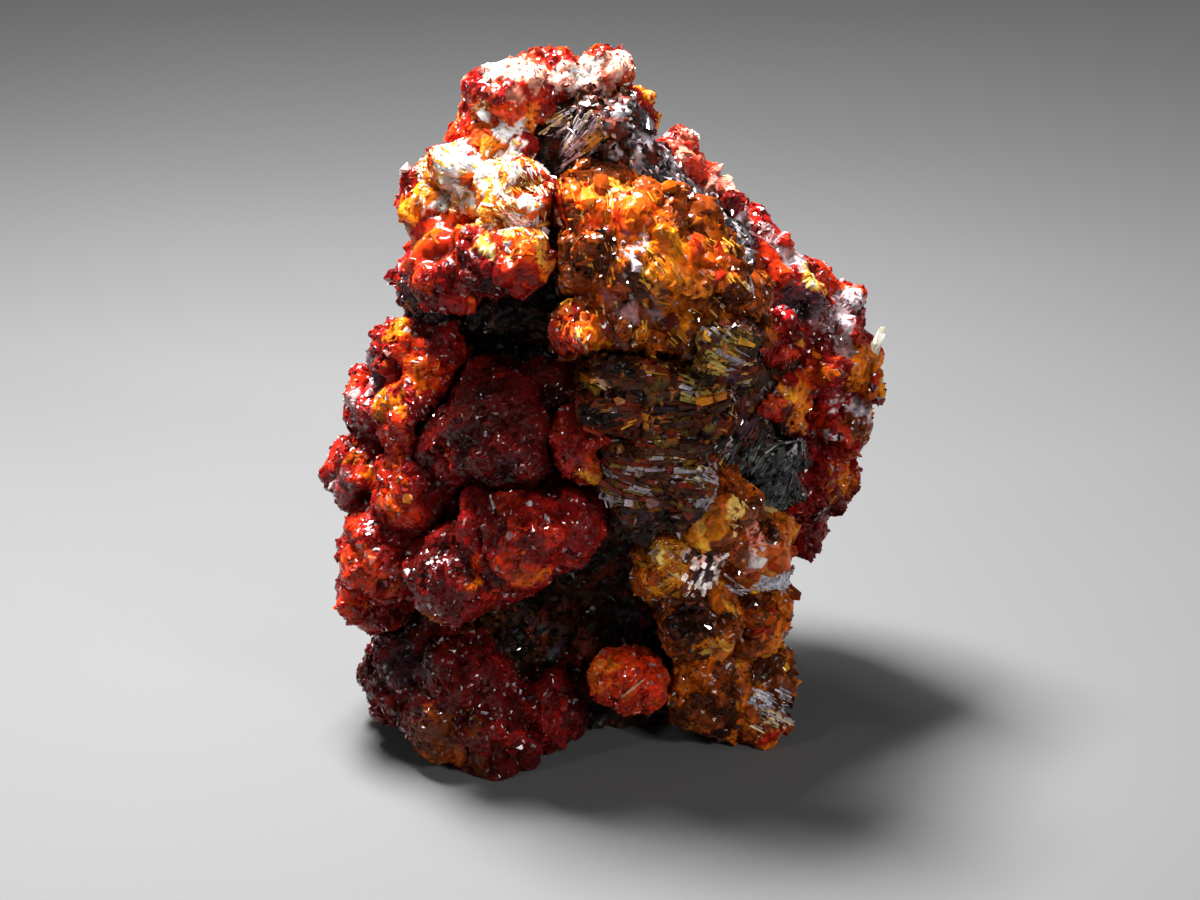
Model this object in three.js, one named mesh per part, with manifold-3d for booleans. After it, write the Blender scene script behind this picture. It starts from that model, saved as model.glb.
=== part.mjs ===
// Zincite on matrix: a hand-sized rough of garnet-red to amber zincite, grown as knobbly groups of
// small blunt crystals on a fibrous grey-brown matrix. Millimetres, +Z up, the front face towards -Y.
// The origin is the middle of the specimen's footprint, on the surface that it stands on.
import * as THREE from "three";
import { ConvexGeometry } from "three/addons/geometries/ConvexGeometry.js";
import { mergeVertices } from "three/addons/utils/BufferGeometryUtils.js";
import Module from "manifold-3d";

const wasm = await Module();
wasm.setup();

// Driving dimensions.
const GAP = 0.35; // left between two groups, and between a group and the matrix
const CUT_BACK = GAP * 1.3; // how far corners move out on a copy that cuts that gap on slanted faces
const MIDDLE = { x: 0, y: 4.5 }; // where the upright middle line of the matrix stands
const ROUGHNESS = 0.1; // how far a lump's corners stray from its radius, as a share of it
const STRETCH = 0.14; // how much longer or shorter than round a lump is, along each axis
const FULLNESS = 1.06; // corners this far outside the radius keep a lump's faces close to it
const CRYSTAL_SIDES = 6; // zincite is hexagonal
const CRYSTAL_SHAPE = { foot: 0.55, tip: 0.27, tall: 0.6, sunk: 0.18 }; // shares of a crystal's width
const CRYSTAL_LEAN = 0.25; // how far a crystal leans from straight out
const CRYSTAL_SEAT = 0.86; // where a crystal's foot is, as a share of its lump's radius
const SITES_PER_LUMP = 3; // places on a lump where a crystal may stand
const FLOOR_BLOCK = 120; // side of the block that cuts the feet off flat

// A repeatable random number from 0 to 1 for each group.
function dice(seed) {
  let state = seed >>> 0;
  return () => {
    state = (state + 0x6d2b79f5) >>> 0;
    let t = Math.imul(state ^ (state >>> 15), 1 | state);
    t = (t + Math.imul(t ^ (t >>> 7), 61 | t)) ^ t;
    return ((t ^ (t >>> 14)) >>> 0) / 4294967296;
  };
}

const spread = (random, amount) => (2 * random() - 1) * amount;

function weld(geometry) {
  const bare = geometry.clone();
  bare.deleteAttribute("normal");
  bare.deleteAttribute("uv");
  return mergeVertices(bare, 1e-4);
}

function solidFrom(geometry) {
  const welded = weld(geometry);
  return new wasm.Manifold(
    new wasm.Mesh({
      numProp: 3,
      vertProperties: new Float32Array(welded.attributes.position.array),
      triVerts: new Uint32Array(welded.index.array),
    }),
  );
}

function geometryFrom(solid) {
  const mesh = solid.getMesh();
  const points = new Float32Array(mesh.numVert * 3);
  for (let i = 0; i < mesh.numVert; i++) {
    points.set(mesh.vertProperties.subarray(i * mesh.numProp, i * mesh.numProp + 3), i * 3);
  }
  const geometry = new THREE.BufferGeometry();
  geometry.setAttribute("position", new THREE.BufferAttribute(points, 3));
  geometry.setIndex(new THREE.BufferAttribute(new Uint32Array(mesh.triVerts), 1));
  return geometry;
}

// Even directions over a sphere, by the golden angle.
function directionsRound(count, turn) {
  const golden = Math.PI * (3 - Math.sqrt(5));
  return Array.from({ length: count }, (_, i) => {
    const height = 1 - (2 * (i + 0.5)) / count;
    const ring = Math.sqrt(1 - height * height);
    return new THREE.Vector3(
      Math.cos(golden * i + turn) * ring,
      Math.sin(golden * i + turn) * ring,
      height,
    );
  });
}

// A lump is a knob with uneven flat facets.
function lumpGeometry([x, y, z, radius], cornerCount, random) {
  const size = [0, 1, 2].map(() => radius * (FULLNESS + spread(random, STRETCH)));
  const turned = new THREE.Quaternion().setFromEuler(
    new THREE.Euler(...[0, 1, 2].map(() => spread(random, Math.PI))),
  );
  const corners = directionsRound(cornerCount, random() * Math.PI).map((direction) =>
    direction
      .multiply(new THREE.Vector3(...size))
      .multiplyScalar(1 + spread(random, ROUGHNESS))
      .applyQuaternion(turned)
      .add(new THREE.Vector3(x, y, z)),
  );
  return new ConvexGeometry(corners);
}

// A blunt hexagonal crystal: a low pyramid whose tip is a small sloping three-cornered face.
function crystalGeometry(foot, direction, width, random, tall = CRYSTAL_SHAPE.tall) {
  const points = [];
  const turn = random() * Math.PI;
  for (let i = 0; i < CRYSTAL_SIDES; i++) {
    const angle = turn + (i * 2 * Math.PI) / CRYSTAL_SIDES;
    const ring = (share, height) =>
      new THREE.Vector3(Math.cos(angle) * width * share, height, Math.sin(angle) * width * share);
    points.push(ring(CRYSTAL_SHAPE.foot, -width * CRYSTAL_SHAPE.sunk));
    if (i % 2 === 1) continue;
    points.push(ring(CRYSTAL_SHAPE.tip, width * tall * (1 + spread(random, ROUGHNESS))));
  }
  const upright = new THREE.Quaternion().setFromUnitVectors(new THREE.Vector3(0, 1, 0), direction);
  return new ConvexGeometry(points.map((p) => p.applyQuaternion(upright).add(foot)));
}

const reaches = (point, lumps, slack) =>
  lumps.some(([x, y, z, r]) => point.distanceTo(new THREE.Vector3(x, y, z)) < r + slack);

// The crystals of one group, on the open sites of its lumps.
function groupCrystals({ lumps, grain }, foreignLumps, random) {
  const crystals = [];
  for (const lump of lumps) {
    const [x, y, z, radius] = lump;
    const others = lumps.filter((other) => other !== lump);
    for (const direction of directionsRound(SITES_PER_LUMP, random() * Math.PI)) {
      const width = grain * (1 + spread(random, 0.3));
      const foot = new THREE.Vector3(x, y, z).addScaledVector(direction, radius * CRYSTAL_SEAT);
      const lean = new THREE.Vector3(spread(random, 1), spread(random, 1), spread(random, 1));
      const along = direction.clone().addScaledVector(lean, CRYSTAL_LEAN).normalize();
      const outward = new THREE.Vector3(x - MIDDLE.x, y - MIDDLE.y, 0).normalize();
      const buried = reaches(foot, others, grain * 0.3) || reaches(foot, foreignLumps, width);
      if (foot.z < grain || along.dot(outward) < -0.3 || buried) continue;
      crystals.push(crystalGeometry(foot, along, width, random));
    }
  }
  return crystals;
}

// The same piece, larger by the gap all round, to cut its neighbours back with.
function grown(geometry) {
  const larger = weld(geometry);
  larger.computeBoundingBox();
  const middle = larger.boundingBox.getCenter(new THREE.Vector3());
  const corners = larger.attributes.position;
  const corner = new THREE.Vector3();
  for (let i = 0; i < corners.count; i++) {
    corner.fromBufferAttribute(corners, i).sub(middle);
    corner.setLength(corner.length() + CUT_BACK).add(middle);
    corners.setXYZ(i, corner.x, corner.y, corner.z);
  }
  return larger;
}

const joined = (geometries) =>
  geometries.map(solidFrom).reduce((whole, piece) => whole.add(piece));

const largestBody = (solid) =>
  solid.decompose().reduce((best, body) => (body.volume() > best.volume() ? body : best));

// Matrix: an upright core that reaches the surface below, and the fibrous ledges that show at the
// front. Each level of the core: its height, its middle, and its half width and half depth.
const CORE = [
  { z: 0, x: -1.5, y: MIDDLE.y, across: 13.5, deep: 9.0 },
  { z: 6, x: -2.2, y: 6.0, across: 15.7, deep: 8.6 },
  { z: 11, x: -2.2, y: 6.6, across: 16.7, deep: 8.8 },
  { z: 16, x: -2.0, y: 6.2, across: 17.0, deep: 9.6 },
  { z: 23, x: -1.0, y: 5.0, across: 17.0, deep: 11.0 },
  { z: 31, x: 1.0, y: 5.0, across: 16.0, deep: 10.8 },
  { z: 38, x: 0.0, y: 4.4, across: 13.5, deep: 9.2 },
  { z: 44, x: -2.0, y: 2.5, across: 11.0, deep: 7.6 },
  { z: 49.5, x: -2.5, y: 1.2, across: 7.0, deep: 5.0 },
  { z: 54, x: -3.0, y: 1.2, across: 3.4, deep: 3.0 },
];
const CORE_SIDES = 13;
const CORE_ROUGHNESS = 1.1;

// The core, with its surface moved out by extra.
function coreGeometry(extra, random) {
  const rim = CORE.map((level, i) => new THREE.Vector2(1, i));
  const profile = [new THREE.Vector2(0, 0), ...rim, new THREE.Vector2(0, CORE.length - 1)];
  const geometry = weld(new THREE.LatheGeometry(profile, CORE_SIDES));
  const corners = geometry.attributes.position;
  for (let i = 0; i < corners.count; i++) {
    const level = CORE[Math.round(corners.getY(i))];
    const stray = extra + spread(random, CORE_ROUGHNESS);
    corners.setXYZ(
      i,
      level.x + corners.getX(i) * (level.across + stray),
      level.y - corners.getZ(i) * (level.deep + stray),
      level.z === 0 ? 0 : level.z + extra + spread(random, CORE_ROUGHNESS),
    );
  }
  return geometry;
}

// Each ledge: its middle, its size, and its turns about X, Y and Z in degrees.
const LEDGES = [
  { at: [3.8, -9.0, 36.0], size: [10.0, 10, 2.2], turn: [8, 5, -6] },
  { at: [3.4, -9.4, 33.8], size: [11.5, 10, 1.9], turn: [4, -3, 4] },
  { at: [4.6, -9.2, 31.7], size: [10.0, 10, 1.8], turn: [-3, 4, -3] },
  { at: [3.8, -9.0, 29.7], size: [9.5, 11, 1.7], turn: [2, -5, 5] },
  { at: [4.2, -9.4, 27.0], size: [8.5, 11, 3.4], turn: [5, 6, -7] },
  { at: [8.8, -10.6, 37.4], size: [4.8, 8.0, 4.6], turn: [-6, 9, 10] },
  { at: [3.2, -8.2, 24.0], size: [6.0, 9.5, 2.8], turn: [-6, 10, 8] },
  { at: [4.2, -6.5, 30.0], size: [8.0, 8.0, 19.0], turn: [0, 4, 3] },
  { at: [-1.4, -1.8, 51.4], size: [4.2, 5.2, 7.6], turn: [18, 24, 10] },
  { at: [1.6, -1.8, 49.8], size: [4.6, 5.0, 7.0], turn: [14, -28, -12] },
  { at: [4.4, -0.8, 46.8], size: [7.0, 5.0, 3.4], turn: [10, 38, -8] },
  { at: [8.8, 0.2, 42.8], size: [6.0, 5.0, 3.0], turn: [12, 40, -10] },
  { at: [13.6, 1.0, 23.8], size: [5.0, 5.0, 3.0], turn: [8, -16, 14] },
  { at: [13.2, -0.4, 20.4], size: [5.0, 5.0, 2.4], turn: [-4, -20, 20] },
  { at: [-6.5, -3.4, 38.2], size: [9.0, 4.0, 5.0], turn: [-12, 6, -6] },
  { at: [5.2, 14.0, 34.4], size: [9.0, 7.0, 4.6], turn: [10, 14, -10] },
  { at: [-1.6, 13.4, 38.4], size: [9.0, 7.0, 3.6], turn: [16, -10, 12] },
  { at: [6.6, 14.6, 27.6], size: [8.0, 7.0, 4.4], turn: [-6, 12, 10] },
  { at: [-5.4, 14.0, 21.0], size: [8.4, 7.0, 5.0], turn: [-8, -14, 6] },
  { at: [-5.8, 13.4, 12.6], size: [7.4, 7.0, 4.4], turn: [-12, 12, -12] },
  { at: [-2.0, 12.6, 4.6], size: [9.4, 7.0, 5.2], turn: [-8, -8, 8] },
];
const LEDGE_SECTIONS = 2; // steps along a ledge at which its broken edge strays

function ledgeGeometry({ at, size, turn }, random) {
  const geometry = weld(new THREE.BoxGeometry(...size, LEDGE_SECTIONS, 1, 1));
  const corners = geometry.attributes.position;
  for (let i = 0; i < corners.count; i++) {
    corners.setXYZ(
      i,
      corners.getX(i) + spread(random, size[0] * 0.05),
      corners.getY(i) + spread(random, size[1] * 0.08),
      corners.getZ(i) + spread(random, size[2] * 0.12),
    );
  }
  const [rx, ry, rz] = turn.map(THREE.MathUtils.degToRad);
  const place = new THREE.Matrix4().makeRotationFromEuler(new THREE.Euler(rx, ry, rz));
  return geometry.applyMatrix4(place.setPosition(...at));
}

const CORE_SEED = 11;
const ledgeRandom = dice(12);
const ledges = LEDGES.map((ledge) => ledgeGeometry(ledge, ledgeRandom));

// Zincite groups. A lump is its middle and its radius; grain is how wide the group's crystals are,
// and corners is how many corners a lump has: few on blocky growth, more on rounded bosses.
const GROUPS = {
  // The bright top knob, the lit ledge under it, and the red shoulder with its hanging nodules.
  zincite_crown: {
    colour: "#b8431f",
    grain: 2.2,
    corners: 13,
    lumps: [
      [-7.8, -0.6, 55.2, 3.7],
      [-4.8, 2.0, 55.4, 3.5],
      [-1.0, 2.2, 55.6, 3.2],
      [1.0, 3.4, 52.0, 3.0],
      [-9.2, 0.2, 51.6, 3.6],
      [-8.4, -3.0, 51.2, 2.8],
      [-5.0, 5.2, 50.8, 4.4],
      [-10.6, -3.2, 48.6, 4.0],
      [-7.0, -6.2, 48.0, 3.6],
      [-13.4, -1.8, 46.2, 4.0],
      [-12.6, -5.8, 42.6, 3.9],
      [-14.0, -1.8, 39.8, 3.8],
      [-10.2, -8.2, 44.0, 3.0],
      [-6.9, -9.8, 44.4, 2.7],
    ],
  },
  // The amber ridge that comes forward down the right of centre.
  zincite_amber_ridge: {
    colour: "#b8601a",
    grain: 2.6,
    corners: 12,
    lumps: [
      [-1.2, -6.6, 47.6, 3.8],
      [2.6, -9.2, 47.0, 3.5],
      [6.2, -5.6, 44.8, 3.8],
      [-1.4, -9.6, 44.2, 3.6],
      [3.6, -10.6, 43.4, 4.3],
      [7.6, -9.6, 42.4, 4.0],
      [9.8, -8.4, 39.8, 3.3],
      [1.2, -10.8, 40.6, 3.5],
      [-2.4, -11.4, 39.4, 2.9],
      [5.8, -11.0, 39.4, 3.2],
    ],
  },
  // The rounded nodule, red at its left and amber at its right, beside the fibrous ledges.
  zincite_amber_nodule: {
    colour: "#b84a12",
    grain: 1.6,
    corners: 22,
    lumps: [[-2.0, -11.6, 29.4, 3.2]],
  },
  // Two broad dark red bosses at the left of centre.
  zincite_upper_boss: {
    colour: "#6e1a14",
    grain: 1.7,
    corners: 20,
    lumps: [
      [-8.5, -9.4, 29.4, 4.4],
      [-11.6, -6.8, 28.0, 3.6],
      [-4.6, -7.2, 31.8, 3.4],
      [-9.4, -5.6, 31.6, 3.3],
    ],
  },
  zincite_lower_boss: {
    colour: "#7e1418",
    grain: 1.8,
    corners: 20,
    lumps: [
      [-7.8, -11.0, 21.6, 4.7],
      [-3.8, -9.4, 22.0, 3.8],
      [-13.0, -10.2, 17.6, 4.0],
      [-8.6, -7.6, 18.2, 4.6],
    ],
  },
  // The left side: the crimson lobe that overhangs the foot, and the rim of small lumps above it.
  zincite_left_flank: {
    colour: "#8c1610",
    grain: 1.9,
    corners: 17,
    lumps: [
      [-19.0, -4.8, 17.2, 4.4],
      [-19.9, -3.6, 12.6, 3.8],
      [-16.2, -5.2, 22.8, 4.4],
      [-20.2, -0.4, 22.4, 4.0],
      [-19.0, 0.0, 28.0, 3.5],
      [-15.8, -4.0, 28.6, 4.1],
      [-16.8, -1.8, 33.6, 3.1],
      [-17.2, 0.8, 32.2, 3.0],
      [-14.4, -3.2, 34.0, 3.2],
      [-18.0, 2.6, 16.8, 4.0],
    ],
  },
  // The dark foot at the lower left, with the low lumps that reach towards the middle.
  zincite_left_foot: {
    colour: "#5e1d14",
    grain: 1.9,
    corners: 16,
    lumps: [
      [-17.2, -1.4, 4.6, 4.4],
      [-16.4, -1.2, 9.2, 3.8],
      [-15.6, -5.2, 4.2, 4.3],
      [-11.8, -8.4, 7.6, 3.9],
      [-13.4, -9.2, 3.0, 4.1],
      [-9.8, -10.2, 2.4, 3.7],
      [-4.6, -6.8, 3.4, 4.2],
    ],
  },
  // The small bright nodule at the mouth of the lower hollow.
  zincite_cave_nodule: {
    colour: "#c03a12",
    grain: 1.5,
    corners: 18,
    lumps: [
      [0.6, -11.6, 8.5, 2.5],
      [2.9, -11.2, 7.7, 2.3],
      [2.0, -8.6, 7.0, 3.0],
    ],
  },
  // The amber mass at the lower right and the foot under it.
  zincite_right_base: {
    colour: "#9a4a18",
    grain: 2.4,
    corners: 13,
    lumps: [
      [8.6, -8.6, 21.8, 3.8],
      [5.8, -8.8, 18.0, 4.0],
      [11.8, -5.8, 17.4, 4.3],
      [7.4, -9.0, 13.0, 4.2],
      [12.0, -5.0, 11.6, 4.1],
      [8.6, -6.0, 5.0, 4.4],
      [13.0, -2.8, 4.2, 3.9],
      [12.6, -6.0, 2.0, 2.8],
    ],
  },
  // The mass that stands out to the right behind the ridge, and the orange lumps above it.
  zincite_right_wing: {
    colour: "#8a3418",
    grain: 2.4,
    corners: 13,
    lumps: [
      [5.2, 5.0, 47.8, 2.8],
      [7.8, 5.2, 45.2, 2.9],
      [8.8, 6.2, 41.8, 3.5],
      [11.8, 4.4, 39.2, 3.9],
      [15.4, 5.0, 36.4, 3.9],
      [12.8, 1.2, 34.6, 3.8],
      [18.4, 6.8, 33.2, 3.7],
      [17.6, 4.2, 31.0, 4.0],
      [21.0, 5.6, 30.2, 2.7],
      [13.4, 1.6, 29.0, 3.8],
      [19.2, 6.2, 25.2, 4.0],
      [17.8, 6.4, 19.8, 4.0],
      [15.8, 7.2, 15.0, 3.4],
      [3.8, 11.0, 43.4, 4.4],
      [-2.6, 10.8, 45.2, 4.2],
      [11.6, 12.2, 37.4, 4.6],
      [14.6, 12.0, 29.6, 4.8],
      [13.6, 12.2, 22.0, 4.8],
    ],
  },
  // The unseen back: two more groups of the same growth, with matrix showing between them.
  zincite_back_left: {
    colour: "#84240f",
    grain: 2.4,
    corners: 13,
    lumps: [
      [-10.4, 8.0, 42.4, 4.4],
      [-13.6, 8.2, 36.2, 4.8],
      [-15.4, 8.4, 29.2, 5.0],
      [-16.4, 9.2, 21.8, 5.0],
      [-16.4, 9.6, 14.6, 4.8],
      [-10.4, 13.4, 25.4, 4.6],
      [-14.4, 9.8, 7.4, 5.0],
      [-5.4, 15.0, 30.4, 4.4],
    ],
  },
  zincite_back_foot: {
    colour: "#8f3a14",
    grain: 2.4,
    corners: 13,
    lumps: [
      [1.8, 15.2, 20.6, 4.6],
      [6.8, 14.0, 15.4, 4.8],
      [0.4, 14.6, 12.4, 4.4],
      [10.4, 10.0, 10.4, 4.8],
      [6.2, 12.6, 6.2, 4.6],
    ],
  },
};

// The pale splinter stuck on the right rim.
const SPLINTER = { at: [23.2, 4.4, 31.8], lean: [-0.18, 0, 1], width: 1.2, tall: 1.7 };
const SPLINTER_COLOUR = "#e8d8b8";

function splinterGeometry({ at, lean, width, tall }) {
  const upward = new THREE.Vector3(...lean).normalize();
  return crystalGeometry(new THREE.Vector3(...at), upward, width, dice(5), tall);
}

const floor = new THREE.BoxGeometry(FLOOR_BLOCK, FLOOR_BLOCK, FLOOR_BLOCK);
floor.translate(0, 0, -FLOOR_BLOCK / 2);
const underFloor = solidFrom(floor);

const specimen = new THREE.Group();

function addNode(name, solid, colour, roughness) {
  const material = new THREE.MeshStandardMaterial({ color: colour, roughness, metalness: 0 });
  const mesh = new THREE.Mesh(geometryFrom(solid), material);
  mesh.name = name;
  specimen.add(mesh);
}

const matrix = joined([coreGeometry(0, dice(CORE_SEED)), ...ledges]).subtract(underFloor);
addNode("matrix", largestBody(matrix), "#4c4238", 0.55);

const splinter = splinterGeometry(SPLINTER);
addNode("pale_splinter", solidFrom(splinter), SPLINTER_COLOUR, 0.3);

// Each group is cut back from the matrix and from the lumps of the groups before it, so that none
// overlap. Crystals stand only where no other group's lump is near.
const widerCore = coreGeometry(CUT_BACK, dice(CORE_SEED));
let taken = joined([widerCore, ...[...ledges, splinter].map(grown)]).add(underFloor);
Object.entries(GROUPS).forEach(([name, group], index) => {
  const random = dice(101 + index);
  const foreignLumps = Object.values(GROUPS)
    .filter((other) => other !== group)
    .flatMap((other) => other.lumps);
  const lumps = group.lumps.map((lump) => lumpGeometry(lump, group.corners, random));
  const crystals = groupCrystals(group, foreignLumps, random);
  const solid = joined([...lumps, ...crystals]).subtract(taken);
  addNode(name, largestBody(solid), group.colour, 0.2);
  taken = taken.add(joined(lumps.map(grown)));
});

// The footprint's middle goes to the origin.
const bounds = new THREE.Box3().setFromObject(specimen);
const middle = bounds.getCenter(new THREE.Vector3());
specimen.position.set(-middle.x, -middle.y, -bounds.min.z);

export default specimen;
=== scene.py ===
import math

import bmesh
import bpy
import numpy as np
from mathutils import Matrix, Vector, noise
from mathutils.bvhtree import BVHTree
from mathutils.kdtree import KDTree


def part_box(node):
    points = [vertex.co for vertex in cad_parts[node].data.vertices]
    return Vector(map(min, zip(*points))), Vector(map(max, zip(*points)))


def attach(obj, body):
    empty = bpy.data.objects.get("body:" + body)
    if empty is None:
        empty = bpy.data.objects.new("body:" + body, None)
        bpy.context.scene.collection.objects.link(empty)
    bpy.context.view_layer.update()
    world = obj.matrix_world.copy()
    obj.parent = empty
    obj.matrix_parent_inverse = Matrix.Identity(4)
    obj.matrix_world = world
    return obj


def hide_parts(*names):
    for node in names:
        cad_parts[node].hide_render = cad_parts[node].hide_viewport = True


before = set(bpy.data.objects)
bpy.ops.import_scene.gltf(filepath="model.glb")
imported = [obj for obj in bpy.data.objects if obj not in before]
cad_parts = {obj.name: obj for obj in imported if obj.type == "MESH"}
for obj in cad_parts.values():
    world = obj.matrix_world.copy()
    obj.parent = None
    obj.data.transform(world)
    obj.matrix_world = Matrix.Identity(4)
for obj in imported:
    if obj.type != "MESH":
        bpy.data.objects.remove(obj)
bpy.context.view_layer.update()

MM = 0.001  # lengths below are in millimetres, and become metres when a mesh is made


# Matrix rock. The real piece is a lump of dark fibrous ore that everything else grew on, broken
# off at the bottom. Its solid keeps its slabs, and gets a worn skin with small grains set in it.
def skin_of(node, voxel, softening):
    """The outside of a solid with its edges worn round: points and triangles."""
    piece = bpy.data.objects.new("worn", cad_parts[node].data.copy())
    bpy.context.scene.collection.objects.link(piece)
    wear = piece.modifiers.new("wear", "REMESH")
    wear.mode = "VOXEL"
    wear.voxel_size = voxel * MM
    soften = piece.modifiers.new("soften", "SMOOTH")
    soften.factor = 0.5
    soften.iterations = softening
    worn = piece.evaluated_get(bpy.context.evaluated_depsgraph_get()).to_mesh()
    worn.calc_loop_triangles()
    points = np.empty(len(worn.vertices) * 3)
    worn.vertices.foreach_get("co", points)
    corners = np.empty(len(worn.loop_triangles) * 3, int)
    worn.loop_triangles.foreach_get("vertices", corners)
    bpy.data.objects.remove(piece)
    return points.reshape(-1, 3) / MM, corners.reshape(-1, 3)


def unit(vectors):
    return vectors / (np.linalg.norm(vectors, axis=-1, keepdims=True) + 1e-12)


def facings(points, corners):
    """The direction that each triangle and each point faces, and each triangle's area."""
    a, b, c = (points[corners[:, k]] for k in range(3))
    cross = np.cross(b - a, c - a)
    at_points = np.zeros_like(points)
    for k in range(3):
        np.add.at(at_points, corners[:, k], cross)
    return unit(cross), unit(at_points), np.linalg.norm(cross, axis=1) / 2


def near_seeds(points, area, spacing, how_many, random):
    """Seeds scattered over a skin, and for each point how far the nearest few are and which."""
    count = max(8, int(area / spacing ** 2))
    seeds = points[random.choice(len(points), count)]
    tree = KDTree(count)
    for i, seed in enumerate(seeds):
        tree.insert(seed, i)
    tree.balance()
    found = [[hit[1:] for hit in tree.find_n(point, how_many)] for point in points]
    found = np.array(found)
    return seeds, found[:, :, 1], found[:, :, 0].astype(int)


def cloudy(points, size, seed):
    """A soft random value from -1 to 1 at each point, with patches of about that size."""
    away = Vector((seed * 17.3, seed * 5.1, seed * 9.7))
    return np.array([noise.noise(Vector(p) / size + away) for p in points])


def grown_skin(points, corners, knob, height, facet, depth, sink, random):
    """A skin drawn in by sink, raised into round knobs, and cut into flat facets with sharp creases:
    its points, the facets' seeds, each point's facet, and how far each point has risen."""
    facing, area = facings(points, corners)[1], facings(points, corners)[2].sum()
    _, away, _ = near_seeds(points, area, knob, 1, random)
    dome_radius, mean_dome = knob * 0.85, 0.6
    domes = np.sqrt(np.clip(1 - (away[:, 0] / dome_radius) ** 2, 0, 1))
    swell = cloudy(points, size=3.2, seed=1) * 0.3
    rise = (domes - mean_dome) * height + swell - sink
    points = points + facing * rise[:, None]
    seeds, _, near = near_seeds(points, area, facet, 3, random)
    slope = 0.55  # of a facet against the skin
    tilt = random.normal(0, slope, seeds.shape)
    planes = (tilt[near] * (points[:, None] - seeds[near])).sum(2)
    planes += random.uniform(-0.5, 0.5, len(seeds))[near] * depth
    owner = near[np.arange(len(points)), planes.argmax(1)]
    facets = np.clip(planes.max(1), -depth, depth)
    return points + facing * facets[:, None], seeds, owner, rise + facets


def others_than(node):
    """What the other solids fill, to tell which places on this one can't be seen."""
    points, corners = [], []
    for name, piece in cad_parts.items():
        if name == node:
            continue
        piece.data.calc_loop_triangles()
        start = len(points)
        points += [v.co / MM for v in piece.data.vertices]
        corners += [[start + i for i in t.vertices] for t in piece.data.loop_triangles]
    return BVHTree.FromPolygons(points, corners)


def open_places(points, corners, spacing, blocked, random, reach=1.1):
    """Evenly scattered places on a skin that nothing else covers: where, and facing which way."""
    face_way, point_way, area = facings(points, corners)
    tries = 4  # places drawn for each one kept
    count = int(area.sum() / spacing ** 2 * tries)
    pick = random.choice(len(corners), count, p=area / area.sum())
    share = random.random((count, 2))
    share[share.sum(1) > 1] = 1 - share[share.sum(1) > 1]
    a, b, c = (points[corners[pick, k]] for k in range(3))
    where = a + (b - a) * share[:, :1] + (c - a) * share[:, 1:]
    way = unit(face_way[pick] + 2.0 * sum(point_way[corners[pick, k]] for k in range(3)) / 3)
    first = np.unique(np.floor(where / spacing).astype(int), axis=0, return_index=True)[1]
    where, way = where[np.sort(first)], way[np.sort(first)]
    floor_gap, lift = 0.3, 0.1  # no place right on the floor, and a ray that starts off the skin
    shown = [
        p[2] > floor_gap and blocked.ray_cast(Vector(p + w * lift), Vector(w), reach)[0] is None
        for p, w in zip(where, way)
    ]
    return where[shown], way[shown]


def hull(points):
    """The convex body round some points: its corners and triangles."""
    body = bmesh.new()
    for p in points:
        body.verts.new(p)
    made = bmesh.ops.convex_hull(body, input=body.verts)
    bmesh.ops.delete(body, geom=[v for v in made["geom_interior"] if v.is_valid], context="VERTS")
    bmesh.ops.triangulate(body, faces=body.faces)
    body.verts.index_update()
    places = np.array([v.co for v in body.verts])
    corners = np.array([[v.index for v in f.verts] for f in body.faces])
    body.free()
    return places, corners


def grain_shapes(kinds, corner_count, flatness, random):
    """Small irregular grains with a few flat facets, a millimetre across before they are sized."""
    shapes = []
    for _ in range(kinds):
        ball = unit(random.normal(0, 1, (corner_count, 3)))
        ball = ball * random.uniform(0.4, 0.56, (corner_count, 1))
        shapes.append(hull(ball * [1, random.uniform(0.7, 1), random.uniform(flatness, 1)]))
    return shapes


def set_in(shapes, where, way, sizes, random, lean):
    """Copies of the shapes, stood on the places, leaning a little: points, corners, and each
    point's copy."""
    up = unit(way + random.normal(0, lean, way.shape))
    side = unit(np.cross(up, random.normal(0, 1, up.shape)))
    turned = np.stack([side, np.cross(up, side), up], 2)
    kind = random.integers(0, len(shapes), len(where))
    points, corners, owner, start = [], [], [], 0
    for k, (body, faces) in enumerate(shapes):
        mine = np.nonzero(kind == k)[0]
        placed = np.einsum("nij,nvj->nvi", turned[mine], body[None] * sizes[mine, None])
        placed += where[mine, None]
        points.append(placed.reshape(-1, 3))
        offsets = start + np.arange(len(mine)) * len(body)
        corners.append((faces[None] + offsets[:, None, None]).reshape(-1, 3))
        owner.append(np.repeat(mine, len(body)))
        start += len(mine) * len(body)
    return np.concatenate(points), np.concatenate(corners), np.concatenate(owner)


def tones_at(where, tones, random, spots=(), patch=1.8, vary=0.2, stretch=(1, 1, 1)):
    """A colour for each place: tones in soft patches by their shares, or a spot's own near it."""
    shares = np.array([share for share, _ in tones], float)
    colours = np.array([colour for _, colour in tones])
    drawn = where * stretch
    draw = 0.5 + 0.75 * cloudy(drawn, patch, 3) + 0.35 * cloudy(drawn, patch * 3, 4)
    draw = np.clip(draw + random.normal(0, 0.12, len(where)), 0, 0.999)
    chosen = colours[np.searchsorted(np.cumsum(shares) / shares.sum(), draw)]
    for at, reach, own in spots:
        far = np.linalg.norm(where - np.array(at), axis=1) / reach
        near = random.random(len(where)) < np.clip(2.2 - 2 * far, 0, 1)
        picks = np.array(own)[random.integers(0, len(own), len(where))]
        chosen = np.where(near[:, None], picks, chosen)
    return chosen * (1 + random.uniform(-vary, vary, (len(where), 1)))


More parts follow.
